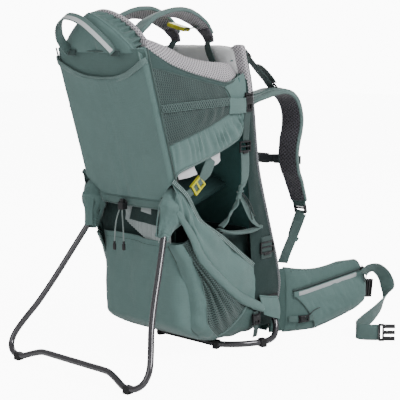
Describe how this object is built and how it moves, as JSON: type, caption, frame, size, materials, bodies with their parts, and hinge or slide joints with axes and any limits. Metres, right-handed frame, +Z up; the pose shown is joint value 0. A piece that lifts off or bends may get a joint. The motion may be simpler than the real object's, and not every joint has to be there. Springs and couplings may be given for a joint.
{
  "type": "framed child carrier backpack",
  "caption": "Framed backpack child carrier with a padded cabin, shoulder harness, hip belt, lower bag and a fold-out kickstand.",
  "frame": {"origin": "middle of the carrier's box at floor level, free webbing and its buckles left out", "axes": "+X the way the wearer faces, +Y the wearer's left, +Z up; the carrier stands on its base feet and kickstand"},
  "size_m": [0.7998, 0.7178, 0.7497],
  "materials": {
    "powder_coated_tube": "anthracite powder coat, soft gloss",
    "black_tube": "black powder coat",
    "pin_steel": "plain steel",
    "joint_plastic": "moulded black",
    "buckle_plastic": "moulded black, fine grain",
    "yellow_plastic": "moulded yellow green",
    "rubber": "moulded black",
    "shell_fabric": "grey teal plain woven pack cloth",
    "lining_fabric": "dark teal lining cloth",
    "pale_mesh": "pale grey perforated mesh",
    "dark_mesh": "dark grey spacer mesh",
    "webbing": "teal ribbed webbing",
    "cord": "braided elastic cord"
  },
  "bodies": {
    "carrier": {"base_frame": "powder_coated_tube", "back_frame": "black_tube", "seat_frame": "black_tube", "hinge_pin_right": "pin_steel", "hinge_pin_left": "pin_steel", "frame_joint_right": "joint_plastic", "frame_joint_left": "joint_plastic", "hinge_bracket_right": "joint_plastic", "hinge_bracket_left": "joint_plastic", "cord_lock": "buckle_plastic", "seat_adjuster_right": "yellow_plastic", "seat_adjuster_left": "yellow_plastic", "base_foot_rear_right": "rubber", "base_foot_rear_left": "rubber", "base_foot_front_right": "rubber", "base_foot_front_left": "rubber", "rear_panel": "shell_fabric", "headrest": "shell_fabric", "side_wing_right": "shell_fabric", "side_wing_left": "shell_fabric", "lower_bag": "shell_fabric", "seat_pad": "lining_fabric", "front_pad": "pale_mesh", "collar": "pale_mesh", "back_panel": "dark_mesh", "lumbar_pad": "dark_mesh", "strap_webbing_right": "webbing", "strap_webbing_left": "webbing", "load_lifter_right": "webbing", "load_lifter_left": "webbing", "drawcord_right": "cord", "drawcord_left": "cord"},
    "kickstand": {"kickstand_tube": "powder_coated_tube", "kickstand_hub_right": "joint_plastic", "kickstand_hub_left": "joint_plastic", "kickstand_foot_right": "rubber", "kickstand_foot_left": "rubber"},
    "hip_belt_right": {"hip_fin_right": "shell_fabric", "hip_ladder_lock_right": "buckle_plastic", "hip_webbing_right": "webbing", "hip_buckle_prong": "buckle_plastic"},
    "hip_belt_left": {"hip_fin_left": "shell_fabric", "hip_ladder_lock_left": "buckle_plastic", "hip_webbing_left": "webbing", "hip_buckle_socket": "buckle_plastic"},
    "pocket_zip": {"zip_slider": "buckle_plastic"},
    "shoulder_harness": {"harness_yoke": "dark_mesh", "shoulder_strap_right": "shell_fabric", "shoulder_strap_left": "shell_fabric", "strap_ladder_lock_right": "buckle_plastic", "strap_ladder_lock_left": "buckle_plastic"},
    "sternum": {"sternum_strap": "webbing", "sternum_buckle": "buckle_plastic"},
    "chest_harness": {"chest_pad_right": "shell_fabric", "chest_pad_left": "shell_fabric", "chest_buckle": "yellow_plastic"},
    "handle": {"grab_handle": "webbing"},
    "stirrup_right": {"foot_stirrup_right": "webbing"},
    "stirrup_left": {"foot_stirrup_left": "webbing"},
    "lock_button": {"cord_lock_button": "buckle_plastic"}
  },
  "joints": [
    {"name": "kickstand_fold", "type": "hinge", "parent": "carrier", "child": "kickstand", "pos_m": [-0.19987, 0, 0.344], "axis": [0, -1, 0], "range_deg": [0, 50]},
    {"name": "hip_fin_right_swing", "type": "hinge", "parent": "carrier", "child": "hip_belt_right", "pos_m": [0.14813, -0.122, 0.085], "axis": [0, 0, 1], "range_deg": [-25, 40]},
    {"name": "hip_fin_left_swing", "type": "hinge", "parent": "carrier", "child": "hip_belt_left", "pos_m": [0.14813, 0.122, 0.085], "axis": [0, 0, -1], "range_deg": [-25, 40]},
    {"name": "pocket_zip_slide", "type": "slide", "parent": "hip_belt_right", "child": "pocket_zip", "axis": [-0.9445, 0.2792, -0.1733], "range_m": [0, 0.14]},
    {"name": "harness_height", "type": "slide", "parent": "carrier", "child": "shoulder_harness", "axis": [-0.1, 0, 0.995], "range_m": [-0.05, 0.04], "deforming": ["strap_webbing_right", "strap_webbing_left", "load_lifter_right", "load_lifter_left"]},
    {"name": "sternum_height", "type": "slide", "parent": "shoulder_harness", "child": "sternum", "axis": [-0.124, 0, 0.9923], "range_m": [-0.012, 0.02]},
    {"name": "chest_harness_lift", "type": "hinge", "parent": "carrier", "child": "chest_harness", "pos_m": [-0.26087, 0, 0.69], "axis": [0, -1, 0], "range_deg": [0, 65]},
    {"name": "grab_handle_swing", "type": "hinge", "parent": "carrier", "child": "handle", "pos_m": [-0.31987, 0, 0.664], "axis": [0, -1, 0], "range_deg": [-8, 130]},
    {"name": "stirrup_right_swing", "type": "hinge", "parent": "carrier", "child": "stirrup_right", "pos_m": [-0.02487, -0.139, 0.455], "axis": [-1, 0, 0], "range_deg": [0, 70]},
    {"name": "stirrup_left_swing", "type": "hinge", "parent": "carrier", "child": "stirrup_left", "pos_m": [-0.02487, 0.139, 0.455], "axis": [1, 0, 0], "range_deg": [0, 70]},
    {"name": "cord_lock_press", "type": "slide", "parent": "carrier", "child": "lock_button", "axis": [0, 0, -1], "range_m": [0, 0.004], "stiffness_N_per_m": 300}
  ]
}
